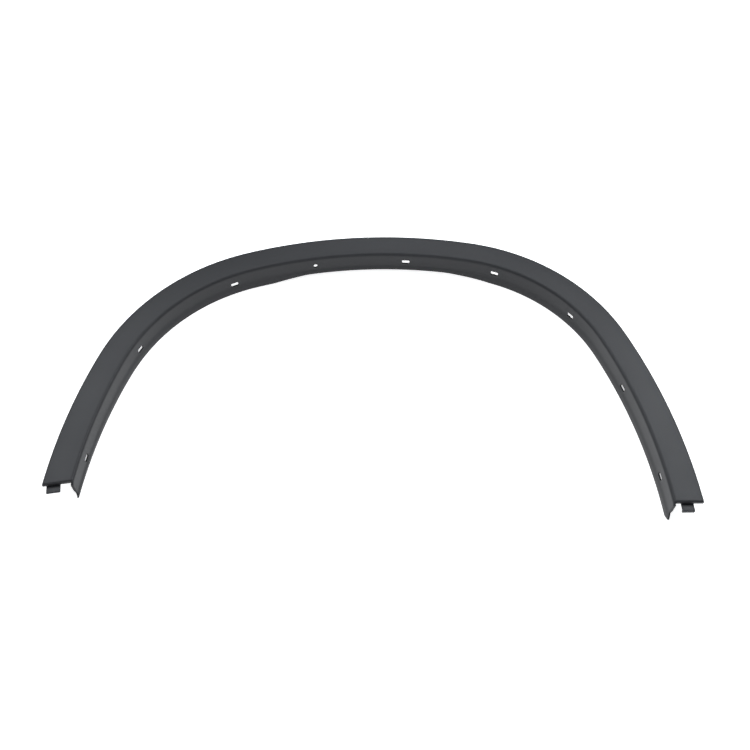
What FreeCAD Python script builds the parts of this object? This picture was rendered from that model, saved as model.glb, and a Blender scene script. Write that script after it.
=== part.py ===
"""Wheel arch trim: one moulded L-section strip that frames a car's wheel opening.

The strip lies face up, on the free edge of its flange.  X runs along the car, from the rear
end at the left to the front end at the right, Y runs from the ends towards the crown, and Z
points out of the car.  The origin is below the middle of the strip, on the surface it lies on.
Inside the body the origin is the crown of the opening line, the sharp corner between the
face and the flange, and the face's top is the plane Z = 0.
"""
import FreeCAD, Part
import math
import os
import Sketcher

NODE = "arch_trim"

# Driving dimensions in millimetres and degrees
SIZES = {
    # Opening line: tangent arcs from the crown to both ends
    "crown_radius": 695.8,
    "crown_rear_sweep": 18.6,
    "crown_front_sweep": 11.8,
    "rear_shoulder_radius": 289.8,
    "rear_shoulder_sweep": 54.5,
    "rear_leg_radius": 882.8,
    "rear_leg_sweep": 14.27,
    "front_shoulder_radius": 272.8,
    "front_shoulder_sweep": 57.4,
    "front_leg_radius": 904.8,
    "front_leg_sweep": 18.94,
    # Section across the strip
    "face_width": 43.2,
    "face_wall": 3.0,
    "crown_rise": 1.0,
    "face_land": 1.5,
    "edge_radius": 2.0,
    "lip_depth": 6.0,
    "lip_wall": 2.2,
    "corner_radius": 4.5,
    "flange_depth": 41.0,
    "flange_wall": 2.5,
    "flange_draft": 2.0,
    "joggle_depth": 27.0,
    "joggle_run": 3.0,
    "joggle_step": 1.5,
    "bend_radius": 1.5,
    "rim_radius": 0.8,
    # Ends, cut at an angle from square across the strip
    "run_out": 25.0,
    "rear_cut_angle": 12.0,
    "front_cut_angle": 2.0,
    "end_wall": 2.5,
    "rear_flange_reach": 5.5,
    "front_flange_reach": 4.2,
    "flange_end_radius": 3.0,
    "nib_reach": 11.0,
    "nib_top": 25.0,
    "nib_foot": 34.0,
    "nib_radius": 1.2,
    "tongue_length": 11.2,
    "tongue_wall": 3.0,
    "rear_tongue_width": 19.5,
    "rear_tongue_place": 29.2,
    "front_tongue_width": 17.5,
    "front_tongue_place": 21.0,
    "front_tongue_lip": 5.5,
    # Fixings, by their distance from the crown along the opening line
    "slot_length": 12.5,
    "slot_height": 7.0,
    "slot_radius": 1.5,
    "hole_diameter": 7.0,
    "fixing_depth": 21.2,
    "crown_fixing_depth": 17.0,
    "rear_hole": 118.8,
    "rear_slot_near": 260.2,
    "rear_slot_middle": 460.6,
    "rear_slot_far": 670.3,
    "front_slot_near": 36.5,
    "front_slot_second": 189.8,
    "front_slot_third": 340.8,
    "front_slot_fourth": 501.2,
    "front_slot_far": 662.1,
    # Gussets behind the fixings
    "gusset_wall": 1.5,
    "gusset_reach": 18.0,
    "gusset_drop": 12.0,
    # Reliefs in the flange's free edge, at the crown and towards the rear end
    "relief_height": 6.8,
    "relief_rear": 135.0,
    "relief_front": 108.0,
    "relief_rear_ramp": 56.0,
    "relief_front_ramp": 74.0,
    "relief_radius": 100.0,
    "rear_relief_height": 8.5,
    "rear_relief_run": 240.0,
}

REAR, FRONT = "rear", "front"
PER_DEGREE = math.pi / 180
ALONG_Y = FreeCAD.Vector(0, 1, 0)
ALONG_Z = FreeCAD.Vector(0, 0, 1)
ORIGIN_POINT = (-1, 1)
X_AXIS, Y_AXIS = -1, -2
START, END, CENTRE = 1, 2, 3


class Dimension:
    """A number together with the sheet expression that gives it."""

    def __init__(self, value, text):
        self.value = value
        self.text = text

    def __add__(self, other):
        return Dimension(self.value + other.value, "(%s + %s)" % (self.text, other.text))

    def __sub__(self, other):
        return Dimension(self.value - other.value, "(%s - %s)" % (self.text, other.text))

    def __mul__(self, other):
        other = other if isinstance(other, Dimension) else Dimension(other, repr(other))
        return Dimension(self.value * other.value, "(%s * %s)" % (self.text, other.text))

    def __truediv__(self, other):
        other = other if isinstance(other, Dimension) else Dimension(other, repr(other))
        return Dimension(self.value / other.value, "(%s / %s)" % (self.text, other.text))

    def __neg__(self):
        return Dimension(-self.value, "(0 - %s)" % self.text)


NIL = Dimension(0.0, "0")
WHOLE = Dimension(1.0, "1")


def sine(angle):
    """Sine of a dimension in degrees."""
    return Dimension(math.sin(math.radians(angle.value)), "sin(%s * 1 deg)" % angle.text)


def cosine(angle):
    """Cosine of a dimension in degrees."""
    return Dimension(math.cos(math.radians(angle.value)), "cos(%s * 1 deg)" % angle.text)


def tangent(angle):
    """Tangent of a dimension in degrees."""
    return sine(angle) / cosine(angle)


def make_sheet(doc):
    """Spreadsheet with one named cell for each driving dimension."""
    sheet = doc.addObject("Spreadsheet::Sheet", "sizes")
    for row, (name, value) in enumerate(SIZES.items(), start=1):
        sheet.set("A%d" % row, name)
        sheet.set("B%d" % row, str(value))
        sheet.setAlias("B%d" % row, name)
    doc.recompute()


def dimension(name):
    """The named driving dimension."""
    return Dimension(SIZES[name], "sizes." + name)


def bind(sketch, name, constraint, amount):
    """Add a named constraint whose value follows a dimension."""
    index = sketch.addConstraint(constraint)
    sketch.renameConstraint(index, name)
    sketch.setExpression("Constraints." + name, amount.text)


def draw_outline(sketch, corners):
    """Closed outline through corners (x, y, radius); a radius of None leaves a corner sharp."""
    count = len(corners)
    points = [FreeCAD.Vector(x.value, y.value, 0) for x, y, radius in corners]
    for index, point in enumerate(points):
        sketch.addGeometry(Part.LineSegment(point, points[(index + 1) % count]), False)
    for index, (x, y, radius) in enumerate(corners):
        before = (index - 1) % count
        sketch.addConstraint(Sketcher.Constraint("Coincident", before, END, index, START))
        for kind, axis, amount in (("DistanceX", Y_AXIS, x), ("DistanceY", X_AXIS, y)):
            if amount is NIL:
                sketch.addConstraint(Sketcher.Constraint("PointOnObject", index, START, axis))
            else:
                rule = Sketcher.Constraint(kind, *ORIGIN_POINT, index, START, amount.value)
                bind(sketch, "%s_%d" % (kind, index), rule, amount)
    for index, (x, y, radius) in enumerate(corners):
        if radius is not None:
            sketch.fillet(index, START, radius.value, True, True)
            arc = sketch.GeometryCount - 2
            bind(sketch, "radius_%d" % index, Sketcher.Constraint("Radius", arc, radius.value), radius)


def plane_sketch(body, name, role):
    """Sketch on one of the body's own planes."""
    plane = next(item for item in body.Origin.OriginFeatures if item.Role == role)
    sketch = body.newObject("Sketcher::SketchObject", name)
    sketch.AttachmentSupport = [(plane, "")]
    sketch.MapMode = "FlatFace"
    return sketch


class OpeningLine:
    """The corner between face and flange: arcs that run tangent from the crown to both ends."""

    STRETCHES = ("crown", "shoulder", "leg")

    def __init__(self, body):
        self.body = body
        self.sketch = plane_sketch(body, "opening_line", "XY_Plane")
        self.lengths = {}
        self.arcs = {}
        for side in (FRONT, REAR):
            self.draw_side(side)
        body.Document.recompute()
        self.edges = {key: self.edge_name(arc) for key, arc in self.arcs.items()}

    @staticmethod
    def stretch(side, name):
        """Radius and sweep of one arc; a leg's arc runs on past the end that is cut later."""
        if name == "crown":
            return dimension("crown_radius"), dimension("crown_%s_sweep" % side)
        radius = dimension("%s_%s_radius" % (side, name))
        sweep = dimension("%s_%s_sweep" % (side, name))
        if name == "leg":
            sweep = sweep + dimension("run_out") / radius / PER_DEGREE
        return radius, sweep

    def draw_side(self, side):
        """Arcs of one side, each tangent to the one before; arcs turn counter-clockwise."""
        turn = 1 if side == REAR else -1
        near, far = (START, END) if side == REAR else (END, START)
        angle = math.pi / 2
        point = FreeCAD.Vector(0, 0, 0)
        for name in self.STRETCHES:
            radius, sweep = self.stretch(side, name)
            spoke = FreeCAD.Vector(math.cos(angle), math.sin(angle), 0)
            centre = point - spoke * radius.value
            reach = angle + turn * math.radians(sweep.value)
            circle = Part.Circle(centre, ALONG_Z, radius.value)
            arc = Part.ArcOfCircle(circle, min(angle, reach), max(angle, reach))
            index = self.sketch.addGeometry(arc, False)
            if name == "crown":
                self.sketch.addConstraint(Sketcher.Constraint("Coincident", index, near, *ORIGIN_POINT))
                self.sketch.addConstraint(Sketcher.Constraint("PointOnObject", index, CENTRE, Y_AXIS))
            else:
                self.sketch.addConstraint(Sketcher.Constraint("Tangent", index - 1, far, index, near))
            label = "%s_%s" % (side, name)
            bind(self.sketch, label + "_radius", Sketcher.Constraint("Radius", index, radius.value), radius)
            bend = Sketcher.Constraint("Angle", index, math.radians(sweep.value))
            bind(self.sketch, label + "_sweep", bend, sweep)
            self.lengths[side, name] = radius * sweep * PER_DEGREE
            self.arcs[side, name] = arc
            angle = reach
            point = centre + FreeCAD.Vector(math.cos(angle), math.sin(angle), 0) * radius.value

    def edge_name(self, arc):
        """Name of the sketch's edge that lies on an arc."""
        middle = arc.value((arc.FirstParameter + arc.LastParameter) / 2)
        spot = Part.Vertex(middle)
        gaps = [edge.distToShape(spot)[0] for edge in self.sketch.Shape.Edges]
        return "Edge%d" % (gaps.index(min(gaps)) + 1)

    def end_distance(self, side):
        """Length of the line from the crown to one end of the strip."""
        total = self.lengths[side, "crown"] + self.lengths[side, "shoulder"] + self.lengths[side, "leg"]
        return total - dimension("run_out")

    def sketch_at(self, name, side, distance, mode):
        """Sketch on the line's own axes, at a distance from the crown towards one end."""
        before = NIL
        for stretch in self.STRETCHES:
            length = self.lengths[side, stretch]
            if stretch == "leg" or distance.value <= (before + length).value:
                break
            before = before + length
        share = (distance - before) / length
        place = share if side == REAR else WHOLE - share
        sketch = self.body.newObject("Sketcher::SketchObject", name)
        sketch.AttachmentSupport = [(self.sketch, self.edges[side, stretch])]
        sketch.MapMode = mode
        sketch.MapPathParameter = place.value
        sketch.setExpression("MapPathParameter", place.text)
        return sketch

    def sketch_at_tip(self, name):
        """Section sketch at the very start of the line: X points out of the arch, Y up."""
        sketch = self.body.newObject("Sketcher::SketchObject", name)
        sketch.AttachmentSupport = [(self.sketch, self.edges[FRONT, "leg"])]
        sketch.MapMode = "FrenetNB"
        sketch.MapPathParameter = 0.0
        return sketch


def shift(sketch, axis, turn, angle, offsets):
    """Turn a sketch about one of its axes by an angle and move it by offsets along its axes."""
    rotation = FreeCAD.Rotation(axis * turn, abs(angle.value))
    base = FreeCAD.Vector(*[offset.value for offset in offsets])
    sketch.AttachmentOffset = FreeCAD.Placement(base, rotation)
    sketch.setExpression("AttachmentOffset.Rotation.Angle", angle.text)
    for name, offset in zip("xyz", offsets):
        sketch.setExpression("AttachmentOffset.Base." + name, offset.text)


def add_feature(body, kind, sketch, length, side_type, reverse=False):
    """Pad or pocket of a sketch; a length of None goes through everything."""
    feature = body.newObject("PartDesign::" + kind, sketch.Name + "_" + kind.lower())
    feature.Profile = sketch
    feature.SideType = side_type
    feature.Reversed = reverse
    if length is None:
        feature.Type = "ThroughAll"
    else:
        feature.Type = "Length"
        feature.Length = length.value
        feature.setExpression("Length", length.text)
    body.Document.recompute()
    return feature


def sweep_section(body, line):
    """The L section, from lip and crowned face to the joggled flange, along the opening line."""
    width, wall = dimension("face_width"), dimension("face_wall")
    lip_wall, lip_depth = dimension("lip_wall"), dimension("lip_depth")
    flange_wall, depth = dimension("flange_wall"), dimension("flange_depth")
    lean = tangent(dimension("flange_draft"))
    step_top = dimension("joggle_depth")
    step_foot = step_top + dimension("joggle_run")
    step = dimension("joggle_step")
    edge, bend, rim = dimension("edge_radius"), dimension("bend_radius"), dimension("rim_radius")
    corner = dimension("corner_radius")
    top_x = -(step_top * lean)
    foot_x = -(step_foot * lean) - step
    free_x = -(depth * lean) - step
    rise = dimension("crown_rise")
    flank = width / 2 - corner - dimension("face_land")
    sketch = line.sketch_at_tip("section")
    draw_outline(sketch, [
        (width, NIL, edge),
        (width / 2, rise, flank * width / rise / 2),
        (NIL, NIL, corner),
        (top_x, -step_top, bend),
        (foot_x, -step_foot, bend),
        (free_x, -depth, rim),
        (free_x + flange_wall, -depth, None),
        (foot_x + flange_wall, -step_foot, None),
        (top_x + flange_wall, -step_top, None),
        (flange_wall - wall * lean, -wall, None),
        (width - lip_wall, -wall, None),
        (width - lip_wall, -lip_depth, None),
        (width, -lip_depth, None),
    ])
    pipe = body.newObject("PartDesign::AdditivePipe", "strip")
    pipe.Profile = sketch
    pipe.Spine = (line.sketch, ["Edge%d" % (i + 1) for i in range(len(line.sketch.Shape.Edges))])
    pipe.Mode = "Binormal"
    pipe.Binormal = ALONG_Z
    body.Document.recompute()
    return pipe


def finish_end(body, line, side):
    """Cut one end at its angle, close the face with an end wall and add its joggled tongue.

    The face stops at the cut.  The flange runs a little past it, slopes down from the face and has
    a pointed nib near its free edge.
    """
    turn = 1 if side == REAR else -1

    def outward(amount):
        """Distance past the end, along the strip."""
        return amount if turn > 0 else -amount

    cut = dimension(side + "_cut_angle")
    width, wall = dimension("face_width"), dimension("face_wall")
    end_wall, lip_depth = dimension("end_wall"), dimension("lip_depth")
    past_end = outward(dimension("run_out") * 2)
    station = line.end_distance(side)

    def rectangle(sketch, near, far, inner, outer):
        draw_outline(sketch, [
            (near, inner, None),
            (far, inner, None),
            (far, outer, None),
            (near, outer, None),
        ])

    trim = line.sketch_at(side + "_trim", side, station, "FrenetTN")
    shift(trim, ALONG_Z, turn, cut, (NIL, NIL, NIL))
    rectangle(trim, NIL, past_end, -dimension("flange_wall"), -(width * 2))
    add_feature(body, "Pocket", trim, None, "Symmetric")

    depth, over = dimension("flange_depth"), width
    stop, tip = dimension(side + "_flange_reach"), dimension("nib_reach")
    nib_top, nib_radius = dimension("nib_top"), dimension("nib_radius")
    flange = line.sketch_at(side + "_flange_trim", side, station, "FrenetTB")
    shift(flange, ALONG_Y, turn, cut, (NIL, NIL, NIL))
    draw_outline(flange, [
        (NIL, NIL, None),
        (NIL, over, None),
        (past_end, over, None),
        (past_end, -(depth * 2), None),
        (NIL, -(depth * 2), None),
        (NIL, -depth, None),
        (outward(tip), -dimension("nib_foot"), nib_radius),
        (outward(tip), -(nib_top + tip - stop), nib_radius),
        (outward(stop), -nib_top, nib_radius),
        (outward(stop), -stop, dimension("flange_end_radius")),
    ])
    add_feature(body, "Pocket", flange, width * 2, "Symmetric")

    half_wall = wall / 2
    closing = line.sketch_at(side + "_closing", side, station, "FrenetTN")
    shift(closing, ALONG_Z, turn, cut, (NIL, NIL, -half_wall))
    outer = -((width - dimension("lip_wall") / 2) / cosine(cut))
    inner = -(dimension("flange_wall") / 2)
    rectangle(closing, NIL, outward(-end_wall), inner, outer)
    add_feature(body, "Pad", closing, lip_depth - half_wall, "One side", reverse=True)

    place, reach = dimension(side + "_tongue_place"), dimension("tongue_length")
    tongue_wall, bend = dimension("tongue_wall"), dimension("rim_radius")
    foot = lip_depth + tongue_wall
    tongue = line.sketch_at(side + "_tongue", side, station, "FrenetTB")
    shift(tongue, ALONG_Y, turn, cut, (outward(place * sine(cut)), NIL, place * cosine(cut)))
    profile = [(outward(-end_wall), -half_wall, None), (NIL, -half_wall, None), (NIL, -lip_depth, bend),
               (outward(reach), -lip_depth, bend)]
    if side == FRONT:
        hook = lip_depth + dimension("front_tongue_lip")
        profile += [(outward(reach), -hook, bend), (outward(reach - tongue_wall), -hook, bend),
                    (outward(reach - tongue_wall), -foot, None)]
    else:
        profile += [(outward(reach), -foot, bend)]
    profile += [(outward(-end_wall), -foot, None)]
    draw_outline(tongue, profile)
    add_feature(body, "Pad", tongue, dimension(side + "_tongue_width"), "Symmetric")


def add_fixing(body, line, side, name):
    """A clip slot or a round hole through the flange, with its gusset in the corner behind."""
    crown = name in CROWN_FIXINGS
    depth = dimension("crown_fixing_depth" if crown else "fixing_depth")
    distance = dimension(name)
    flange_wall, wall = dimension("flange_wall"), dimension("face_wall")

    gusset = line.sketch_at(name + "_gusset", side, distance, "FrenetNB")
    lean = tangent(dimension("flange_draft"))
    middle, drop = flange_wall / 2, dimension("gusset_drop")
    draw_outline(gusset, [
        (middle, -(wall / 2), None),
        (flange_wall + dimension("gusset_reach"), -(wall / 2), None),
        (middle - drop * lean, -drop, None),
    ])
    add_feature(body, "Pad", gusset, dimension("gusset_wall"), "Symmetric")

    opening = line.sketch_at(name + "_opening", side, distance, "FrenetTB")
    if name == "rear_hole":
        radius = dimension("hole_diameter") / 2
        circle = Part.Circle(FreeCAD.Vector(0, -depth.value, 0), ALONG_Z, radius.value)
        opening.addGeometry(circle, False)
        opening.addConstraint(Sketcher.Constraint("PointOnObject", 0, CENTRE, Y_AXIS))
        below = Sketcher.Constraint("DistanceY", *ORIGIN_POINT, 0, CENTRE, -depth.value)
        bind(opening, "depth", below, -depth)
        bind(opening, "radius", Sketcher.Constraint("Radius", 0, radius.value), radius)
    else:
        half_length, half_height = dimension("slot_length") / 2, dimension("slot_height") / 2
        round_off = dimension("slot_radius")
        draw_outline(opening, [
            (half_length, half_height - depth, round_off),
            (-half_length, half_height - depth, round_off),
            (-half_length, -(half_height + depth), round_off),
            (half_length, -(half_height + depth), round_off),
        ])
    through = (flange_wall + depth * lean) * 4
    add_feature(body, "Pocket", opening, through, "Symmetric")


def cut_crown_relief(body):
    """Shallow relief in the flange's free edge across the crown, with a long ramp at each side."""
    depth, height = dimension("flange_depth"), dimension("relief_height")
    rear, front = dimension("relief_rear"), dimension("relief_front")
    soft = dimension("relief_radius")
    sketch = plane_sketch(body, "crown_relief", "XZ_Plane")
    draw_outline(sketch, [
        (-(rear + dimension("relief_rear_ramp") * 2), -(depth + height), None),
        (-rear, height - depth, soft),
        (front, height - depth, soft),
        (front + dimension("relief_front_ramp") * 2, -(depth + height), None),
    ])
    add_feature(body, "Pocket", sketch, None, "Symmetric")


def cut_rear_relief(body, line):
    """Straight rise of the flange's free edge along the rear leg, highest at the end."""
    depth, height = dimension("flange_depth"), dimension("rear_relief_height")
    run = dimension("rear_relief_run")
    sketch = line.sketch_at("rear_relief", REAR, line.end_distance(REAR), "FrenetTB")
    draw_outline(sketch, [
        (-(run * 2), -(depth + height), None),
        (run, -(depth + height), None),
        (run, height * 2 - depth, None),
    ])
    add_feature(body, "Pocket", sketch, dimension("face_width") * 4, "Symmetric")


def check(doc, body):
    """Stop if any object failed or the strip is not one valid solid."""
    failed = [item.Label for item in doc.Objects if {"Invalid", "Error"} & set(item.State)]
    if failed:
        raise RuntimeError("failed objects: " + ", ".join(failed))
    shape = body.Shape
    if shape.isNull() or not shape.isValid() or len(shape.Solids) != 1:
        raise RuntimeError("the strip is not one valid solid")


FIXINGS = (
    (REAR, "rear_slot_far"),
    (REAR, "rear_slot_middle"),
    (REAR, "rear_slot_near"),
    (REAR, "rear_hole"),
    (FRONT, "front_slot_near"),
    (FRONT, "front_slot_second"),
    (FRONT, "front_slot_third"),
    (FRONT, "front_slot_fourth"),
    (FRONT, "front_slot_far"),
)
CROWN_FIXINGS = ("rear_hole", "front_slot_near", "front_slot_second")


def main():
    doc = FreeCAD.newDocument("wheel_arch_trim")
    make_sheet(doc)
    body = doc.addObject("PartDesign::Body", NODE)
    body.Label = NODE
    line = OpeningLine(body)
    sweep_section(body, line)
    for side in (REAR, FRONT):
        finish_end(body, line, side)
    for side, name in FIXINGS:
        add_fixing(body, line, side, name)
    cut_crown_relief(body)
    cut_rear_relief(body, line)
    doc.recompute()
    check(doc, body)
    box = body.Shape.optimalBoundingBox()
    body.Placement = FreeCAD.Placement(
        FreeCAD.Vector(-box.Center.x, -box.Center.y, -box.ZMin), FreeCAD.Rotation())
    doc.recompute()
    check(doc, body)
    os.makedirs("parts", exist_ok=True)
    body.Shape.exportStep("parts/%s.step" % NODE)
    box = body.Shape.optimalBoundingBox()
    print("%.1f x %.1f x %.1f mm, %.0f mm3" % (box.XLength, box.YLength, box.ZLength, body.Shape.Volume))


main()
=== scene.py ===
"""Dressed model of a wheel arch trim, a moulded strip that edges a car's wheel opening.

The strip is one piece.  Its section is carried along the opening line, which is a chain of tangent
arcs, and its end walls, tongues and gussets are joined to it and its openings cut from it.
"""
import math

import bpy
import numpy as np
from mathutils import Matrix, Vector


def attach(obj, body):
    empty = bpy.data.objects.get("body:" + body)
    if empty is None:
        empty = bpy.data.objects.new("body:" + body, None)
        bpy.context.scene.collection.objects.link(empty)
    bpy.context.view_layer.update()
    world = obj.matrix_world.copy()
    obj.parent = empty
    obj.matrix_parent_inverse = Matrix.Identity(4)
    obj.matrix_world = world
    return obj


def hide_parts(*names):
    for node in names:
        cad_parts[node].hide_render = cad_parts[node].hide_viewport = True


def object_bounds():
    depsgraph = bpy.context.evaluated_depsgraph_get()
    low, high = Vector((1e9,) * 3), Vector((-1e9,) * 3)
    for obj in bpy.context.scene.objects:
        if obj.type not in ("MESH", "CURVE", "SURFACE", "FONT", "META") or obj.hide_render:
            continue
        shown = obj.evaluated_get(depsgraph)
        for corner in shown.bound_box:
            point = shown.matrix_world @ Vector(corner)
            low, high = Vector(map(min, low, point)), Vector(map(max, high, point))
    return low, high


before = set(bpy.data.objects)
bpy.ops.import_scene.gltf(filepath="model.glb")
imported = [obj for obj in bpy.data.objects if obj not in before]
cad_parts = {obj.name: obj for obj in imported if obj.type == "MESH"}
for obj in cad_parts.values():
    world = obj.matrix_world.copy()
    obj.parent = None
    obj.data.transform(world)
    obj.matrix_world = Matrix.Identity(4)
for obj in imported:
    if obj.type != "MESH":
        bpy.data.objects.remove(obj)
CAD_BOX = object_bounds()

bl_info = {
    "name": "Wheel Arch Trim",
    "version": (1, 0, 0),
    "blender": (4, 5, 0),
    "location": "View3D > Sidebar > Arch Trim",
    "description": "Moulds a wheel arch trim from its opening line and section, with a studio",
    "category": "Object",
}

NODE = "arch_trim"
BODY = "root"
SLOT = "trim_plastic"

MM = 0.001
UP = np.array([0.0, 0.0, 1.0])
STRETCHES = ("crown", "shoulder", "leg")
SIDES = (("rear", -1), ("front", 1))

# Fineness of the mesh.
ARC_TURN = math.radians(15.0)
RIM_STEPS = 5
BROW_STEPS = 7
MOUTH_STEPS = 6
HOLE_POINTS = 48
SHARP_TURN = math.radians(32.0)

# Small shapes: rims of thin plates and of the tongues, and the seam by which joined surfaces part.
PLATE_RIM = 0.3 * MM
TONGUE_RIM = 0.6 * MM
SEAM = 0.03 * MM

# Shares of a wall's thickness by which the pieces of an end sink into each other.
WALL_SINK = 0.9
HEEL_SINK = 0.8
RISER_SINK = 0.3

# Reach of an opening's cutter before and behind the flange, in thicknesses of the flange.
CUT_BEFORE = 2
CUT_BEHIND = 2.5

# Stretch before an end in which the section turns into the cut, in spacings of the mesh.
SHEAR_SPANS = 20

# Softness of the crown relief's corners, as a share of its height.
RELIEF_SOFTNESS = 0.1

# Rubbed edges: bends of this radius count as fully worn, over gaps of at least this length.
WEAR_RADIUS = 0.5 * MM
SHORTEST_GAP = 0.2 * MM

# Softboxes: name, place and aim in metres, side in metres, power in watts.
SOFTBOXES = (
    ("back_softbox", (0.1, 1.8, 1.6), (0.0, 0.2, 0.0), 1.0, 12.0),
    ("right_softbox", (1.05, 0.8, 1.6), (0.4, 0.0, 0.0), 1.0, 28.0),
    ("left_softbox", (-1.05, 0.8, 1.6), (-0.4, 0.0, 0.0), 1.0, 22.5),
    ("front_softbox", (0.0, -1.7, 1.5), (0.0, 0.2, 0.0), 1.8, 18.0),
)


def length(name, description, millimetres):
    """Property for a length, given in millimetres and kept in metres."""
    return bpy.props.FloatProperty(
        name=name, description=description, default=millimetres * MM,
        min=0.0, precision=5, unit="LENGTH", subtype="DISTANCE")


def angle(name, description, degrees):
    """Property for an angle, given in degrees and kept in radians."""
    return bpy.props.FloatProperty(
        name=name, description=description, default=math.radians(degrees),
        precision=3, unit="ROTATION", subtype="ANGLE")


def share(name, description, value, top=1.0):
    """Property for a plain number from nought upwards."""
    return bpy.props.FloatProperty(
        name=name, description=description, default=value, min=0.0, max=top, precision=3)


def colour(name, description, red, green, blue):
    """Property for a linear colour."""
    return bpy.props.FloatVectorProperty(
        name=name, description=description, default=(red, green, blue), size=3,
        min=0.0, max=1.0, subtype="COLOR")


class ArchLineSettings(bpy.types.PropertyGroup):
    """Arcs of the opening line, the corner between face and flange."""

    crown_radius: length("Crown radius", "Radius of the arc over the top of the arch", 695.8)
    crown_rear_sweep: angle("Crown sweep, rear", "Turn of the crown arc behind the top", 18.6)
    crown_front_sweep: angle("Crown sweep, front", "Turn of the crown arc before the top", 11.8)
    rear_shoulder_radius: length("Rear shoulder radius", "Radius of the rear shoulder", 289.8)
    rear_shoulder_sweep: angle("Rear shoulder sweep", "Turn of the rear shoulder", 54.5)
    rear_leg_radius: length("Rear leg radius", "Radius of the rear leg", 882.8)
    rear_leg_sweep: angle("Rear leg sweep", "Turn of the rear leg", 14.27)
    front_shoulder_radius: length("Front shoulder radius", "Radius of the front shoulder", 272.8)
    front_shoulder_sweep: angle("Front shoulder sweep", "Turn of the front shoulder", 57.4)
    front_leg_radius: length("Front leg radius", "Radius of the front leg", 904.8)
    front_leg_sweep: angle("Front leg sweep", "Turn of the front leg", 18.94)


class SectionSettings(bpy.types.PropertyGroup):
    """Section across the strip."""

    face_width: length("Face width", "Width of the visible band", 43.2)
    face_wall: length("Face wall", "Thickness of the visible band", 3.0)
    face_land: length("Face land", "Flat margin beside the rounded corner", 1.5)
    crown_rise: length("Crown rise", "Height of the face's gentle crown", 0.99)
    edge_radius: length("Edge radius", "Rounding of the face's outer edge", 2.0)
    corner_radius: length("Corner radius", "Rounding between face and flange", 4.5)
    lip_depth: length("Lip depth", "Depth of the outer lip", 6.0)
    lip_wall: length("Lip wall", "Thickness of the outer lip", 2.2)
    flange_depth: length("Flange depth", "Depth of the inner flange", 41.0)
    flange_wall: length("Flange wall", "Thickness of the inner flange", 2.5)
    flange_draft: angle("Flange draft", "Lean of the flange", 2.0)
    joggle_depth: length("Joggle depth", "Depth at which the flange steps", 25.5)
    joggle_run: length("Joggle run", "Height of the step in the flange", 7.0)
    joggle_step: length("Joggle step", "Width of the step in the flange", 1.5)
    bend_radius: length("Bend radius", "Rounding of the step's bends", 25.0)
    rim_radius: length("Rim radius", "Rounding of thin edges", 0.8)
    relief_height: length("Relief height", "Rise of the free edge at the crown", 6.8)
    relief_rear: length("Relief, rear", "Reach of the relief behind the top", 135.0)
    relief_front: length("Relief, front", "Reach of the relief before the top", 108.0)
    relief_rear_ramp: length("Relief ramp, rear", "Run of the rear ramp", 56.0)
    relief_front_ramp: length("Relief ramp, front", "Run of the front ramp", 74.0)
    rear_relief_height: length("Rear relief height", "Rise of the edge at the rear end", 8.5)
    rear_relief_run: length("Rear relief run", "Reach of the rise from the rear end", 240.0)
    spacing: length("Spacing", "Distance between the points of the mesh", 3.0)


class EndSettings(bpy.types.PropertyGroup):
    """The two ends of the strip, with a stepped tongue on each."""

    rear_cut_angle: angle("Rear cut", "Angle of the rear end from square", 12.0)
    front_cut_angle: angle("Front cut", "Angle of the front end from square", 2.0)
    end_wall: length("End wall", "Thickness of the wall that closes an end", 2.5)
    end_radius: length("End radius", "Rounding of the end's edges", 0.7)
    brow_radius: length("Brow radius", "Rounding of the face's top edge at an end", 2.2)
    bead: length("End bead", "Thickening of the flange behind its ends", 1.4)
    bead_run: length("Bead run", "Length of the thickened stretch", 5.0)
    rear_flange_reach: length("Rear flange reach", "Reach past the rear end", 5.5)
    front_flange_reach: length("Front flange reach", "Reach past the front end", 4.2)
    nib_reach: length("Nib reach", "Reach of the flange's pointed nib past the end", 11.0)
    nib_top: length("Nib top", "Depth at which the nib starts", 25.0)
    nib_foot: length("Nib foot", "Depth of the nib's tip", 34.0)
    tongue_length: length("Tongue length", "Reach of a tongue past the end", 11.2)
    tongue_wall: length("Tongue wall", "Thickness of a tongue", 3.0)
    rear_tongue_width: length("Rear tongue width", "Width of the rear tongue", 19.5)
    rear_tongue_place: length("Rear tongue place", "Distance from the opening line", 29.2)
    front_tongue_width: length("Front tongue width", "Width of the front tongue", 17.5)
    front_tongue_place: length("Front tongue place", "Distance from the opening line", 21.0)
    front_tongue_lip: length("Front tongue lip", "Depth of the turned-down tip", 5.5)


class FixingSettings(bpy.types.PropertyGroup):
    """Clip slots, locating hole and gussets."""

    slot_length: length("Slot length", "Length of a clip slot", 12.5)
    slot_height: length("Slot height", "Height of a clip slot", 7.0)
    slot_radius: length("Slot radius", "Rounding of a clip slot's corners", 1.5)
    hole_diameter: length("Hole diameter", "Diameter of the locating hole", 7.0)
    mouth_radius: length("Mouth radius", "Rounding of the openings' front edges", 0.5)
    fixing_depth: length("Depth", "Depth of the openings on shoulders and legs", 21.2)
    crown_fixing_depth: length("Crown depth", "Depth of the openings near the top", 17.0)
    rear_hole: length("Hole", "Distance of the hole behind the top", 118.8)
    rear_slots: bpy.props.FloatVectorProperty(
        name="Rear slots", description="Distances of the slots behind the top",
        default=(0.2602, 0.4606, 0.6703), size=3, precision=4, unit="LENGTH")
    front_slots: bpy.props.FloatVectorProperty(
        name="Front slots", description="Distances of the slots before the top",
        default=(0.0365, 0.1898, 0.3408, 0.5012, 0.6621), size=5, precision=4, unit="LENGTH")
    crown_reach: length("Crown reach", "Distance within which openings sit higher", 200.0)
    gusset_wall: length("Gusset wall", "Thickness of a gusset", 1.5)
    gusset_reach: length("Gusset reach", "Width of a gusset under the face", 18.0)
    gusset_drop: length("Gusset drop", "Depth of a gusset behind the flange", 12.0)


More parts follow.
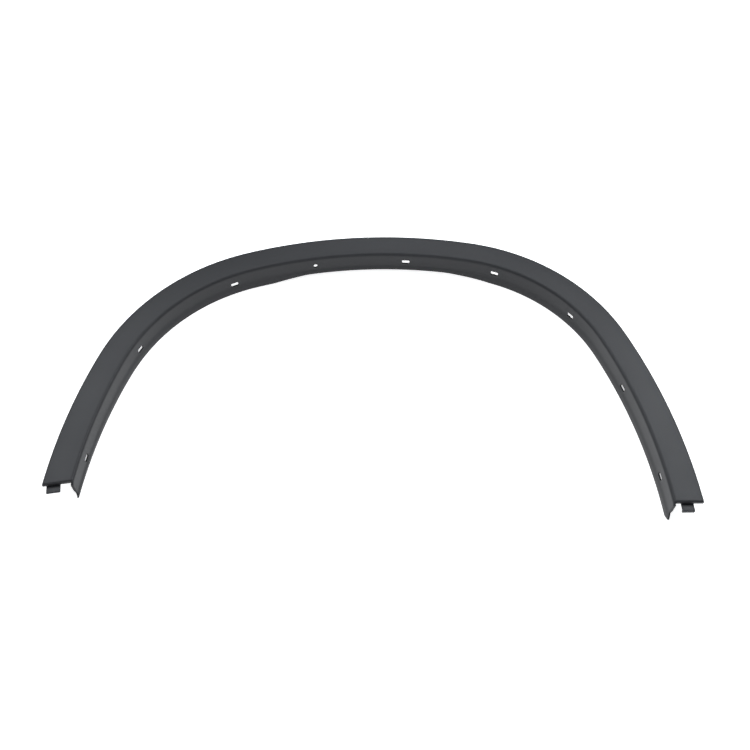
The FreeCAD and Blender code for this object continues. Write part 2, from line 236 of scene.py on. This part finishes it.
class FinishSettings(bpy.types.PropertyGroup):
    """Grained charcoal plastic."""

    base: colour("Base colour", "Colour of the moulding", 0.0165, 0.0172, 0.0192)
    pale: colour("Pale colour", "Colour of paler clouds in the moulding", 0.020, 0.0208, 0.023)
    worn: colour("Edge colour", "Colour of rubbed edges", 0.028, 0.029, 0.031)
    roughness: share("Roughness", "Roughness of the grained surface", 0.45)
    roughness_change: share("Roughness change", "Change of roughness over the clouds", 0.06)
    refraction: share("Refraction", "Index of refraction of the surface", 1.33, 3.0)
    cloud_scale: share("Cloud scale", "Clouds to a metre", 9.0, 100.0)
    cloud_detail: share("Cloud detail", "Finer steps within a cloud", 5.0, 15.0)
    cloud_roughness: share("Cloud roughness", "Strength of the finer steps", 0.6)
    grain_size: length("Grain size", "Width of one grain", 0.7)
    grain_depth: length("Grain depth", "Height of the grain", 0.03)
    grain_strength: share("Grain strength", "Share of the grain's height that shows", 0.5)
    grain_softness: share("Grain softness", "Blending between grains", 0.6)


class StageSettings(bpy.types.PropertyGroup):
    """Camera and studio."""

    elevation: angle("Elevation", "Height of the camera above the horizon", 53.3)
    distance: length("Distance", "Distance from camera to target", 1400.0)
    view: angle("View angle", "Angle of view across the frame", 44.8)
    target: bpy.props.FloatVectorProperty(
        name="Target", description="Point that the camera looks at",
        default=(0.0057, -0.0339, 0.041), size=3, precision=4, subtype="XYZ", unit="LENGTH")
    lamp: colour("Lamp colour", "Colour of the softboxes", 0.93, 0.96, 1.0)
    floor: colour("Floor colour", "Colour of the floor", 0.86, 0.86, 0.86)
    floor_glow: share("Floor glow", "Light given off by the floor", 0.78, 10.0)
    floor_roughness: share("Floor roughness", "Roughness of the floor", 0.9)
    floor_reach: length("Floor reach", "Distance from the middle to the floor's sides", 6000.0)
    floor_gap: length("Floor gap", "Depth of the floor below the strip", 0.5)
    air_light: share("Air light", "Light that the backdrop gives the strip", 0.06)
    air_shown: share("Air shown", "Brightness of the backdrop, that of the far floor", 0.838)


class ArchTrimSettings(bpy.types.PropertyGroup):
    """All settings of the trim and its studio."""

    line: bpy.props.PointerProperty(type=ArchLineSettings, name="Opening line")
    section: bpy.props.PointerProperty(type=SectionSettings, name="Section")
    ends: bpy.props.PointerProperty(type=EndSettings, name="Ends")
    fixings: bpy.props.PointerProperty(type=FixingSettings, name="Fixings")
    finish: bpy.props.PointerProperty(type=FinishSettings, name="Finish")
    stage: bpy.props.PointerProperty(type=StageSettings, name="Stage")


def smooth_step(values):
    """Nought below 0, one above 1, and 3t^2 - 2t^3 between."""
    t = np.clip(values, 0.0, 1.0)
    return t * t * (3.0 - 2.0 * t)


class OpeningLine:
    """Tangent arcs from the crown, at distance 0, forwards to the front end and back to the rear.

    On an arc the outward heading is the heading at the arc's start less the run divided by the
    radius, and the point is the arc's centre plus the radius times the outward direction.
    """

    def __init__(self, line):
        self.ends = {}
        rows = []
        for side, way in SIDES:
            distance, heading, point = 0.0, math.pi / 2, np.zeros(2)
            for stretch in STRETCHES:
                if stretch == "crown":
                    radius, sweep = line.crown_radius, getattr(line, "crown_%s_sweep" % side)
                else:
                    radius = getattr(line, "%s_%s_radius" % (side, stretch))
                    sweep = getattr(line, "%s_%s_sweep" % (side, stretch))
                centre = point - radius * np.array([math.cos(heading), math.sin(heading)])
                rows.append((distance, distance + way * radius * sweep, heading, radius, *centre))
                distance += way * radius * sweep
                heading -= way * sweep
                point = centre + radius * np.array([math.cos(heading), math.sin(heading)])
            self.ends[side] = distance
        rows.sort(key=lambda row: row[0] + row[1])
        self.start, far, self.heading, self.radius, centre_x, centre_y = np.array(rows).T
        self.knots = np.maximum(self.start, far)[:-1]
        self.centre = np.stack([centre_x, centre_y], axis=-1)

    def at(self, distance):
        """Points and outward directions in the plane, for an array of distances."""
        arc = np.searchsorted(self.knots, distance)
        heading = self.heading[arc] - (distance - self.start[arc]) / self.radius[arc]
        outward = np.stack([np.cos(heading), np.sin(heading)], axis=-1)
        return self.centre[arc] + self.radius[arc][..., None] * outward, outward

    def axes(self, distance):
        """Point, forward direction and outward direction in space at one distance."""
        point, outward = self.at(np.array([distance]))
        x, y = outward[0]
        return np.array([*point[0], 0.0]), np.array([y, -x, 0.0]), np.array([x, y, 0.0])


def rounded_outline(corners, spacing):
    """Closed anticlockwise outline through corners (x, y, radius), each replaced by its arc.

    An arc touches both sides at radius * tan(half its turn) from the corner.  Sides are divided by
    the spacing, and arcs by the spacing or by a fixed turn, whichever gives more points.
    """
    spots = np.array([corner[:2] for corner in corners])
    radii = np.array([corner[2] for corner in corners])
    into = spots - np.roll(spots, 1, axis=0)
    into /= np.linalg.norm(into, axis=1)[:, None]
    out = np.roll(into, -1, axis=0)
    bend = np.arctan2(into[:, 0] * out[:, 1] - into[:, 1] * out[:, 0], (into * out).sum(axis=1))
    reach = radii * np.tan(np.abs(bend) / 2)
    first, last = spots - into * reach[:, None], spots + out * reach[:, None]
    left = np.stack([-into[:, 1], into[:, 0]], axis=1)
    pieces = []
    for i in range(len(corners)):
        side = np.linalg.norm(first[i] - last[i - 1])
        steps = max(int(side / spacing), 1)
        share_of_side = np.arange(1, steps)[:, None] / steps
        pieces.append(last[i - 1] + (first[i] - last[i - 1]) * share_of_side)
        if radii[i] == 0.0:
            pieces.append(spots[i][None])
            continue
        steps = max(math.ceil(abs(bend[i]) / ARC_TURN),
                    math.ceil(abs(bend[i]) * radii[i] / spacing), 2)
        swing = bend[i] * np.linspace(0.0, 1.0, steps + 1)[:, None]
        hand = np.sign(bend[i])
        pieces.append(first[i] + radii[i] * (into[i] * np.sin(swing) * hand
                                             + left[i] * (1 - np.cos(swing)) * hand))
    return np.concatenate(pieces)


def inset(outline, amounts):
    """Outlines moved inwards, one for each amount.

    Each point moves by the amount to the left of its direction of travel.
    """
    travel = np.roll(outline, -1, axis=0) - np.roll(outline, 1, axis=0)
    travel /= np.linalg.norm(travel, axis=1)[:, None]
    inward = np.stack([-travel[:, 1], travel[:, 0]], axis=1)
    return outline + np.asarray(amounts)[:, None, None] * inward


def rounded_ends(half, radius, steps=RIM_STEPS):
    """Positions from -half to +half and insets that round both rims by a quarter circle.

    At a swing from 0 to a right angle the position is half - radius + radius * sin(swing), and the
    inset is radius * (1 - cos(swing)).
    """
    swing = np.linspace(0.0, math.pi / 2, steps)
    place = half - radius + radius * np.sin(swing)
    draw = radius * (1 - np.cos(swing))
    return np.concatenate([-place[::-1], place]), np.concatenate([draw[::-1], draw])


def tube_faces(rings, count, start=0):
    """Quads of a tube of rings with the same count of points, and one polygon over each end."""
    ring, spot = np.meshgrid(np.arange(rings - 1), np.arange(count), indexing="ij")
    after = (spot + 1) % count
    quads = np.stack([ring * count + spot, ring * count + after,
                      (ring + 1) * count + after, (ring + 1) * count + spot], axis=-1)
    quads = quads.reshape(-1, 4) + start
    caps = [np.arange(count)[::-1], (rings - 1) * count + np.arange(count)]
    return quads.tolist() + [(cap + start).tolist() for cap in caps]


class Shells:
    """Closed shells gathered into one mesh."""

    def __init__(self):
        self.points = []
        self.faces = []
        self.count = 0

    def add_tube(self, rings):
        """Tube through rings of points, an array of rings by points by 3."""
        self.faces += tube_faces(rings.shape[0], rings.shape[1], self.count)
        self.points.append(rings.reshape(-1, 3))
        self.count += rings.shape[0] * rings.shape[1]

    def add_plate(self, outline, base, right, up, half, radius):
        """Outline in the plane of right and up, carried both ways across it, with rounded rims."""
        across = np.cross(right, up)
        places, draws = rounded_ends(half, radius)
        rings = inset(outline, draws)
        self.add_tube(base + rings[..., :1] * right + rings[..., 1:] * up
                      + places[:, None, None] * across)

    def make(self, name, shift):
        """Mesh object of the shells, moved by a shift."""
        mesh = bpy.data.meshes.new(name)
        mesh.from_pydata(np.concatenate(self.points) + shift, [], self.faces)
        mesh.validate()
        piece = bpy.data.objects.new(name, mesh)
        bpy.context.scene.collection.objects.link(piece)
        return piece


def section_outline(section):
    """Section of the strip: x outwards from the opening line, y up from the face's corner.

    The face rises to its crown and falls again, the flange leans by its draft and steps once, and
    the lip hangs from the outer edge.  The crown's radius is the flank times the width over twice
    the rise, so its arc ends where the rounded corner starts.
    """
    width, wall = section.face_width, section.face_wall
    lean = math.tan(section.flange_draft)
    step_top = section.joggle_depth
    step_foot = step_top + section.joggle_run
    top_x = -step_top * lean
    foot_x = -step_foot * lean - section.joggle_step
    free_x = -section.flange_depth * lean - section.joggle_step
    back = section.flange_wall
    lip_x = width - section.lip_wall
    flank = width / 2 - section.corner_radius - section.face_land
    crown = flank * width / section.crown_rise / 2
    bend, rim = section.bend_radius, section.rim_radius
    return rounded_outline([
        (width, 0.0, section.edge_radius),
        (width / 2, section.crown_rise, crown),
        (0.0, 0.0, section.corner_radius),
        (top_x, -step_top, bend),
        (foot_x, -step_foot, bend),
        (free_x, -section.flange_depth, rim),
        (free_x + back, -section.flange_depth, rim),
        (foot_x + back, -step_foot, bend),
        (top_x + back, -step_top, bend),
        (back - wall * lean, -wall, section.corner_radius - back),
        (lip_x, -wall, rim),
        (lip_x, -section.lip_depth, rim),
        (width, -section.lip_depth, rim),
    ], section.spacing)


def relief_rise(section, along):
    """Rise of the free edge over the crown, for positions along the car.

    The rise is the softened least of the relief's height and the two ramps, and never below nought.
    """
    height = section.relief_height
    rear_ramp, front_ramp = section.relief_rear_ramp, section.relief_front_ramp
    rear = height * (along + section.relief_rear + rear_ramp) / rear_ramp
    front = height * (section.relief_front + front_ramp - along) / front_ramp
    ramp = np.minimum(rear, front)
    soft = RELIEF_SOFTNESS * height
    blend = np.maximum(soft - np.abs(ramp - height), 0.0) / soft
    return np.maximum(np.minimum(ramp, height) - blend * blend * soft / 4, 0.0)


def rear_rise(section, line, points):
    """Rise of the free edge along the rear leg, for points in the plane.

    The rise falls in a straight line from the end, along the leg's direction there, to nought at
    the end of its run.  Only points more than half way out from the crown to the end can have it.
    """
    origin, forward, _ = line.axes(line.ends["rear"])
    behind = (points - origin[:2]) @ forward[:2]
    behind = np.where(points[..., 0] < origin[0] / 2, behind, section.rear_relief_run)
    return section.rear_relief_height * np.maximum(1 - behind / section.rear_relief_run, 0.0)


def free_edge_lift(section, line, distance, height):
    """Rise of the flange's points: nought at the top of its step, all of it at the rim."""
    point = line.at(distance)[0]
    rise = relief_rise(section, point[..., 0]) + rear_rise(section, line, point)
    top = section.joggle_depth
    band = section.flange_depth - section.rim_radius - top
    return rise * np.clip((-height - top) / band, 0.0, 1.0)


def flange_reach(section, ends, side, depth):
    """Reach of the flange past an end at each depth: a slope from the face, a stop and a nib."""
    stop, tip = getattr(ends, side + "_flange_reach"), ends.nib_reach
    depths = (0.0, stop, ends.nib_top, ends.nib_top + tip - stop, ends.nib_foot,
              section.flange_depth)
    return np.interp(depth, depths, (0.0, stop, stop, tip, tip, 0.0))


def end_distances(line, side, way, cut, across):
    """Distances at which points that lie across the line meet an end's cutting plane.

    Starts from across * tan(cut) past the end, and three times takes off the height over the plane.
    """
    end = line.ends[side]
    origin, forward, outward = line.axes(end)
    normal = (way * forward * math.cos(cut) - outward * math.sin(cut))[:2]
    distance = end + way * across * math.tan(cut)
    for _ in range(3):
        point, heading = line.at(distance)
        over = (point + across[:, None] * heading - origin[:2]) @ normal
        distance = distance - way * over / math.cos(cut)
    return distance


def strip_rings(settings, line):
    """Rings of the strip: the section carried along the opening line.

    Station by station the section keeps square to the line, and over the last stretch before an end
    it shears into the end's cutting plane, with the flange running past that plane by its reach.
    Both ends are rounded by drawing the section in along a quarter circle, by the end radius all
    round and by the brow radius where it faces up.  Behind the flange's ends a bead is added, which
    fades along the strip and towards the nib.
    """
    section, ends = settings.section, settings.ends
    outline = section_outline(section)
    radius, brow, run = ends.end_radius, ends.brow_radius, SHEAR_SPANS * section.spacing
    rear, front = line.ends["rear"], line.ends["front"]
    count = int((front - rear) / section.spacing)
    places, draws = rounded_ends((front - rear) / 2, brow, BROW_STEPS)
    half = len(places) // 2
    middle = np.linspace(rear + brow, front - brow, count)[1:-1]
    places = places + (front + rear) / 2
    stations = np.concatenate([places[:half], middle, places[half:]])
    turn = np.concatenate([draws[:half], np.zeros(len(middle)), draws[half:]]) / brow
    rings = inset(outline, radius * turn)
    facing = outline - inset(outline, [1.0])[0]
    # Nought where a third or less of the direction is up, one where two thirds or more is.
    upward = np.clip(3 * facing[:, 1] - 1, 0.0, 1.0)
    rings[..., 1] -= (brow - radius) * turn[:, None] * upward
    behind = (facing[:, 0] > 0.5) & (outline[:, 0] < section.flange_wall)
    behind = behind * smooth_step((outline[:, 1] + ends.nib_top) / ends.bead_run)
    # Full over the last half of the bead's run, and fading out over the first.
    past = np.maximum(stations - front, rear - stations) / ends.bead_run
    rings[..., 0] += ends.bead * smooth_step(2 + 2 * past)[:, None] * behind
    across, height = rings[..., 0], rings[..., 1]
    distance = np.repeat(stations[:, None], len(outline), axis=1)
    weights = {}
    for side, way in SIDES:
        end, cut = line.ends[side], getattr(ends, side + "_cut_angle")
        shift = end_distances(line, side, way, cut, outline[:, 0]) - end
        weights[side] = smooth_step(1 - (way * (end - stations) - brow) / run)[:, None]
        distance = distance + weights[side] * shift[None]
    lift = free_edge_lift(section, line, distance, height)
    flange = outline[:, 0] < section.flange_wall
    for side, way in SIDES:
        reach = flange * flange_reach(section, ends, side, -height - lift)
        distance = distance + way * weights[side] * reach
    lift = free_edge_lift(section, line, distance, height)
    point, outward = line.at(distance)
    across = across + lift * math.tan(section.flange_draft)
    plan = point + across[..., None] * outward
    return np.concatenate([plan, (height + lift)[..., None]], axis=-1)


def end_shells(settings, line):
    """Walls that close the two ends under the face, and the stepped tongues outside them."""
    section, ends = settings.section, settings.ends
    walls, tongues = Shells(), Shells()
    rim, spacing = section.rim_radius, section.spacing
    for side, way in SIDES:
        cut = getattr(ends, side + "_cut_angle")
        origin, forward, outward = line.axes(line.ends[side])
        past = way * forward * math.cos(cut) - outward * math.sin(cut)
        across = outward * math.cos(cut) + way * forward * math.sin(cut)
        inner = section.flange_wall / 2
        outer = (section.face_width - section.lip_wall / 2) / math.cos(cut)
        top, low = -WALL_SINK * section.face_wall, -section.lip_depth
        wall = rounded_outline([
            (-ends.end_wall, top, 0.0), (-ends.end_wall, low, rim),
            (SEAM, low, rim), (SEAM, top, 0.0)], spacing)
        walls.add_plate(wall, origin + across * (inner + outer) / 2, past, UP,
                        (outer - inner) / 2, PLATE_RIM)
        reach, foot = ends.tongue_length, low - ends.tongue_wall
        heel, riser = -HEEL_SINK * ends.end_wall, -RISER_SINK * ends.end_wall
        low -= SEAM
        corners = [(heel, -section.face_wall, 0.0), (heel, foot, rim)]
        if side == "front":
            hook = low - ends.front_tongue_lip
            tip = reach - ends.tongue_wall
            corners += [(tip, foot, rim), (tip, hook, rim),
                        (reach, hook, rim), (reach, low, rim)]
        else:
            corners += [(reach, foot, rim), (reach, low, rim)]
        corners += [(riser, low, 0.0), (riser, -section.face_wall, 0.0)]
        place = getattr(ends, side + "_tongue_place")
        tongues.add_plate(rounded_outline(corners, spacing), origin + across * place, past, UP,
                          getattr(ends, side + "_tongue_width") / 2, TONGUE_RIM)
    return walls, tongues


def fixing_places(fixings):
    """Signed distance, depth and kind of each opening in the flange."""
    rows = [(-fixings.rear_hole, "hole")]
    rows += [(-distance, "slot") for distance in fixings.rear_slots]
    rows += [(distance, "slot") for distance in fixings.front_slots]
    return [(distance, fixings.crown_fixing_depth if abs(distance) < fixings.crown_reach
             else fixings.fixing_depth, kind) for distance, kind in rows]


def gusset_shells(settings, line):
    """Thin three-cornered plates in the corner behind the flange, one at each opening."""
    section, fixings = settings.section, settings.fixings
    shells = Shells()
    lean = math.tan(section.flange_draft)
    middle, top = section.flange_wall / 2, -section.face_wall / 2
    drop = fixings.gusset_drop
    corners = [(middle, top, 0.0), (middle - drop * lean, -drop, 0.0),
               (section.flange_wall + fixings.gusset_reach, top, 0.0)]
    outline = rounded_outline(corners, section.spacing)
    for distance, _, _ in fixing_places(fixings):
        origin, _, outward = line.axes(distance)
        shells.add_plate(outline, origin, outward, UP, fixings.gusset_wall / 2, PLATE_RIM)
    return shells


def opening_shells(settings, line):
    """Cutters for the openings: an outline carried through the flange, square to its lean.

    Before the flange the outline stands wider by the mouth's radius, and inside it follows a
    quarter circle down to its own size, so each opening has a rounded front edge.
    """
    section, fixings = settings.section, settings.fixings
    shells = Shells()
    half_length, half_height = fixings.slot_length / 2, fixings.slot_height / 2
    soft = fixings.slot_radius
    slot = rounded_outline([(half_length, half_height, soft), (-half_length, half_height, soft),
                            (-half_length, -half_height, soft), (half_length, -half_height, soft)],
                           section.spacing)
    swing = np.linspace(0.0, 2 * math.pi, HOLE_POINTS, endpoint=False)
    hole = fixings.hole_diameter / 2 * np.stack([np.cos(swing), np.sin(swing)], axis=1)
    outlines = {"slot": slot, "hole": hole}
    mouth = fixings.mouth_radius
    turn = np.linspace(0.0, math.pi / 2, MOUTH_STEPS)
    through = np.concatenate([[-CUT_BEFORE * section.flange_wall], mouth * (1 - np.cos(turn)),
                              [CUT_BEHIND * section.flange_wall]])
    wider = np.concatenate([[mouth], mouth * (1 - np.sin(turn)), [0.0]])
    lean = section.flange_draft
    for distance, depth, kind in fixing_places(fixings):
        origin, forward, outward = line.axes(distance)
        climb = UP * math.cos(lean) + outward * math.sin(lean)
        pierce = outward * math.cos(lean) - UP * math.sin(lean)
        base = origin - UP * depth - outward * depth * math.tan(lean)
        rings = inset(outlines[kind], -wider)
        shells.add_tube(base - rings[..., :1] * forward + rings[..., 1:] * climb
                        + through[:, None, None] * pierce)
    return shells


def combine(piece, other, operation):
    """Join another closed mesh to a piece or cut it away, and keep only the result."""
    tool = piece.modifiers.new(operation.lower(), "BOOLEAN")
    tool.object = other
    tool.operation = operation
    tool.solver = "EXACT"
    graph = bpy.context.evaluated_depsgraph_get()
    result = bpy.data.meshes.new_from_object(piece.evaluated_get(graph))
    piece.modifiers.clear()
    used = [piece.data, other.data]
    piece.data = result
    bpy.data.objects.remove(other)
    for mesh in used:
        bpy.data.meshes.remove(mesh)


def mark_edges(mesh):
    """Point attribute edge_wear: how sharply the surface bends outwards, from nought to one.

    The bend at a mesh edge is the angle between its two faces over the distance of their middles,
    and a point takes the greatest bend of its edges, times the radius that counts as fully worn.
    """
    edge = np.empty(len(mesh.loops), np.int32)
    corners = np.empty(len(mesh.polygons), np.int32)
    mesh.loops.foreach_get("edge_index", edge)
    mesh.polygons.foreach_get("loop_total", corners)
    owner = np.repeat(np.arange(len(corners)), corners)
    normals, middles = np.empty(3 * len(corners)), np.empty(3 * len(corners))
    mesh.polygons.foreach_get("normal", normals)
    mesh.polygons.foreach_get("center", middles)
    normals, middles = normals.reshape(-1, 3), middles.reshape(-1, 3)
    order = np.argsort(edge, kind="stable")
    same = np.flatnonzero(edge[order][:-1] == edge[order][1:])
    one, two, shared = owner[order][same], owner[order][same + 1], edge[order][same]
    apart = middles[two] - middles[one]
    gap = np.maximum(np.linalg.norm(apart, axis=1), SHORTEST_GAP)
    bend = np.arccos(np.clip((normals[one] * normals[two]).sum(axis=1), -1.0, 1.0)) / gap
    bend[(apart * normals[one]).sum(axis=1) > 0] = 0.0
    ends = np.empty(2 * len(mesh.edges), np.int32)
    mesh.edges.foreach_get("vertices", ends)
    ends = ends.reshape(-1, 2)[shared]
    wear = np.zeros(len(mesh.vertices))
    np.maximum.at(wear, ends[:, 0], bend)
    np.maximum.at(wear, ends[:, 1], bend)
    attribute = mesh.attributes.new("edge_wear", "FLOAT", "POINT")
    wear = np.clip(wear * WEAR_RADIUS, 0.0, 1.0)
    attribute.data.foreach_set("value", wear.astype(np.float32))


def add_node(tree, kind, place, **values):
    """Node at a place in a tree, with values for its unlinked sockets and its settings."""
    node = tree.nodes.new(kind)
    node.location = place
    for name, value in values.items():
        if name in node.inputs:
            node.inputs[name].default_value = value
        else:
            setattr(node, name, value)
    return node


def mix_colours(tree, place):
    """Node that mixes two colours, with its factor, its two colour inputs and its result."""
    node = add_node(tree, "ShaderNodeMix", place, data_type="RGBA")
    first, second = [socket for socket in node.inputs if socket.type == "RGBA"]
    result, = [socket for socket in node.outputs if socket.type == "RGBA"]
    return node.inputs["Factor"], first, second, result


def grained_plastic(finish):
    """Charcoal moulding: fine pebble grain, faint clouds of colour and gloss, and rubbed edges."""
    material = bpy.data.materials.new(SLOT)
    material.use_nodes = True
    tree = material.node_tree
    tree.nodes.clear()
    link = tree.links.new
    output = add_node(tree, "ShaderNodeOutputMaterial", (900, 0))
    shader = add_node(tree, "ShaderNodeBsdfPrincipled", (600, 0), IOR=finish.refraction)
    link(shader.outputs["BSDF"], output.inputs["Surface"])
    place = add_node(tree, "ShaderNodeTexCoord", (-900, 0))

    clouds = add_node(tree, "ShaderNodeTexNoise", (-600, 300), Scale=finish.cloud_scale,
                      Detail=finish.cloud_detail, Roughness=finish.cloud_roughness)
    link(place.outputs["Object"], clouds.inputs["Vector"])
    cloudiness, base, pale, tone = mix_colours(tree, (-300, 300))
    base.default_value = (*finish.base, 1.0)
    pale.default_value = (*finish.pale, 1.0)
    link(clouds.outputs["Fac"], cloudiness)
    wear = add_node(tree, "ShaderNodeAttribute", (-600, 0), attribute_name="edge_wear")
    rubbing, fresh, worn, rubbed = mix_colours(tree, (0, 200))
    worn.default_value = (*finish.worn, 1.0)
    link(wear.outputs["Fac"], rubbing)
    link(tone, fresh)
    link(rubbed, shader.inputs["Base Color"])

    grain = add_node(tree, "ShaderNodeTexVoronoi", (-600, -300), feature="SMOOTH_F1",
                     Scale=1.0 / finish.grain_size, Smoothness=finish.grain_softness)
    link(place.outputs["Object"], grain.inputs["Vector"])
    gloss = add_node(tree, "ShaderNodeMapRange", (-300, -100))
    gloss.inputs["To Min"].default_value = finish.roughness - finish.roughness_change
    gloss.inputs["To Max"].default_value = finish.roughness + finish.roughness_change
    link(clouds.outputs["Fac"], gloss.inputs["Value"])
    link(gloss.outputs["Result"], shader.inputs["Roughness"])
    bump = add_node(tree, "ShaderNodeBump", (0, -300), Strength=finish.grain_strength,
                    Distance=finish.grain_depth)
    link(grain.outputs["Distance"], bump.inputs["Height"])
    link(bump.outputs["Normal"], shader.inputs["Normal"])
    return material


def floor_material(stage):
    """Matt pale floor that gives off light of its own, as a light table does."""
    material = bpy.data.materials.new("studio_floor")
    material.use_nodes = True
    shader = material.node_tree.nodes["Principled BSDF"]
    shader.inputs["Base Color"].default_value = (*stage.floor, 1.0)
    shader.inputs["Roughness"].default_value = stage.floor_roughness
    shader.inputs["Emission Color"].default_value = (1.0, 1.0, 1.0, 1.0)
    shader.inputs["Emission Strength"].default_value = stage.floor_glow
    return material


def studio_air(stage):
    """Pale backdrop as bright as the far floor, which gives the strip only a faint light."""
    world = bpy.data.worlds.new("studio_air")
    world.use_nodes = True
    tree = world.node_tree
    air = tree.nodes["Background"]
    air.inputs["Color"].default_value = (1.0, 1.0, 1.0, 1.0)
    seen = add_node(tree, "ShaderNodeLightPath", (-400, 0))
    strength = add_node(tree, "ShaderNodeMapRange", (-200, 0))
    strength.inputs["To Min"].default_value = stage.air_light
    strength.inputs["To Max"].default_value = stage.air_shown
    tree.links.new(seen.outputs["Is Camera Ray"], strength.inputs["Value"])
    tree.links.new(strength.outputs["Result"], air.inputs["Strength"])
    return world


class ARCHTRIM_OT_mould(bpy.types.Operator):
    """Mould the strip with its ends, tongues, gussets and openings"""

    bl_idname = "arch_trim.mould"
    bl_label = "Mould Strip"

    def execute(self, context):
        settings = context.scene.arch_trim
        line = OpeningLine(settings.line)
        rings = strip_rings(settings, line)
        low, high = CAD_BOX
        # The CAD box centres the strip along the car and touches its crown and its free edge.
        left, right = rings[..., 0].min(), rings[..., 0].max()
        shift = np.array([(low.x + high.x - left - right) / 2,
                          high.y - rings[..., 1].max(),
                          low.z + settings.section.flange_depth])
        strip = Shells()
        strip.add_tube(rings)
        piece = strip.make("arch_trim_strip", shift)
        walls, tongues = end_shells(settings, line)
        combine(piece, walls.make("end_walls", shift), "UNION")
        combine(piece, tongues.make("tongues", shift), "UNION")
        combine(piece, gusset_shells(settings, line).make("gussets", shift), "UNION")
        combine(piece, opening_shells(settings, line).make("openings", shift), "DIFFERENCE")
        mesh = piece.data
        mesh.name = piece.name
        mesh.shade_smooth()
        mesh.set_sharp_from_angle(angle=SHARP_TURN)
        mark_edges(mesh)
        mesh.materials.clear()
        mesh.materials.append(grained_plastic(settings.finish))
        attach(piece, BODY)
        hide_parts(NODE)
        return {"FINISHED"}


class ARCHTRIM_OT_stage(bpy.types.Operator):
    """Lay the pale floor and set the lights and the camera"""

    bl_idname = "arch_trim.stage"
    bl_label = "Set Studio"

    def execute(self, context):
        scene = context.scene
        stage = scene.arch_trim.stage
        corners = np.array([(-1, -1, 0), (1, -1, 0), (1, 1, 0), (-1, 1, 0)]) * stage.floor_reach
        mesh = bpy.data.meshes.new("studio_floor")
        mesh.from_pydata(corners - stage.floor_gap * UP, [], [(0, 1, 2, 3)])
        mesh.materials.append(floor_material(stage))
        floor = bpy.data.objects.new("studio_floor", mesh)
        scene.collection.objects.link(floor)

        for name, place, aim, size, power in SOFTBOXES:
            light = bpy.data.lights.new(name, "AREA")
            light.shape = "SQUARE"
            light.size = size
            light.energy = power
            light.color = stage.lamp
            lamp = bpy.data.objects.new(name, light)
            lamp.location = place
            beam = Vector(aim) - Vector(place)
            lamp.rotation_euler = beam.to_track_quat("-Z", "Y").to_euler()
            scene.collection.objects.link(lamp)

        scene.world = studio_air(stage)
        scene.view_settings.view_transform = "Standard"

        camera_data = bpy.data.cameras.new("photo_camera")
        camera_data.angle = stage.view
        camera = bpy.data.objects.new("photo_camera", camera_data)
        target = Vector(stage.target)
        back = Vector((0.0, -math.cos(stage.elevation), math.sin(stage.elevation)))
        camera.location = target + back * stage.distance
        camera.rotation_euler = (-back).to_track_quat("-Z", "Y").to_euler()
        scene.collection.objects.link(camera)
        scene.camera = camera
        return {"FINISHED"}


class ARCHTRIM_PT_panel(bpy.types.Panel):
    """Settings and steps of the arch trim"""

    bl_label = "Arch Trim"
    bl_idname = "ARCHTRIM_PT_panel"
    bl_space_type = "VIEW_3D"
    bl_region_type = "UI"
    bl_category = "Arch Trim"

    def draw(self, context):
        settings = context.scene.arch_trim
        for name in ("line", "section", "ends", "fixings", "finish", "stage"):
            group = getattr(settings, name)
            box = self.layout.box()
            box.label(text=settings.bl_rna.properties[name].name)
            for item in group.__annotations__:
                box.prop(group, item)
        self.layout.operator("arch_trim.mould")
        self.layout.operator("arch_trim.stage")


CLASSES = (
    ArchLineSettings,
    SectionSettings,
    EndSettings,
    FixingSettings,
    FinishSettings,
    StageSettings,
    ArchTrimSettings,
    ARCHTRIM_OT_mould,
    ARCHTRIM_OT_stage,
    ARCHTRIM_PT_panel,
)


def register():
    for item in CLASSES:
        bpy.utils.register_class(item)
    bpy.types.Scene.arch_trim = bpy.props.PointerProperty(type=ArchTrimSettings)


def unregister():
    del bpy.types.Scene.arch_trim
    for item in reversed(CLASSES):
        bpy.utils.unregister_class(item)


def main():
    """Build the piece and the studio."""
    register()
    bpy.ops.arch_trim.mould()
    bpy.ops.arch_trim.stage()


if __name__ == "__main__":
    main()
